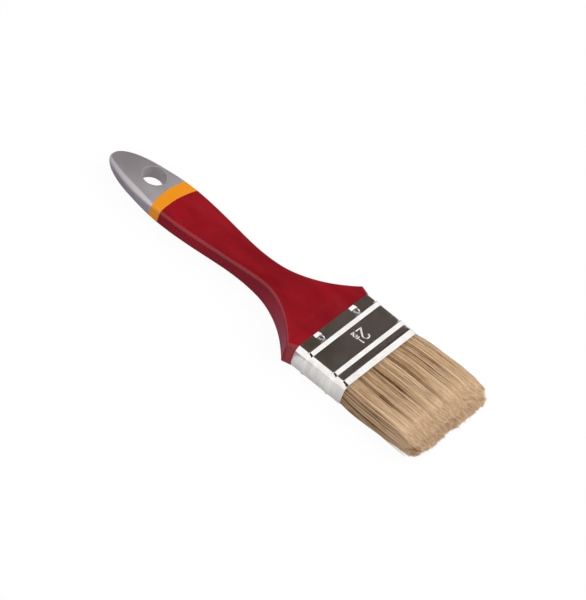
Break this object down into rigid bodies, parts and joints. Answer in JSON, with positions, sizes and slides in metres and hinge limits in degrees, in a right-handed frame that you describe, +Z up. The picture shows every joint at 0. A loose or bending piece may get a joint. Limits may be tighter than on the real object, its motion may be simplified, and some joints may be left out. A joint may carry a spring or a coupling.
{
  "type": "flat bristle brush",
  "caption": "Flat bristle brush: lacquered wood handle with a hanging hole, ridged tin ferrule nailed on, and a tuft of natural bristles that bends at the ferrule's mouth.",
  "frame": {"origin": "centre of the underside of the brush's bounding box, on the surface that it lies on", "axes": "+X along the brush from the handle towards the bristle tips, +Y across its width, +Z up out of the visible wide face"},
  "size_m": [0.242, 0.0656, 0.018],
  "materials": {
    "lacquered_wood": "red gloss lacquer, orange ring, silver end",
    "tinplate": "bright rolled tin",
    "nail_steel": "bright",
    "plain_wood": "raw",
    "resin": "cast",
    "bristle": "natural bristle"
  },
  "bodies": {
    "grip": {"handle": "lacquered_wood", "ferrule": "tinplate", "nail_top_right": "nail_steel", "nail_top_left": "nail_steel", "nail_under_left": "nail_steel", "nail_under_right": "nail_steel", "spacer_plug": "plain_wood", "bristle_heel": "resin"},
    "tuft": {"bristle_tuft": "bristle"}
  },
  "joints": [
    {"name": "bristle_flex", "type": "hinge", "parent": "grip", "child": "tuft", "pos_m": [0.0715, 0, 0.009], "axis": [0, 1, 0], "range_deg": [-20, 20], "stiffness_Nm_per_rad": 0.5}
  ]
}
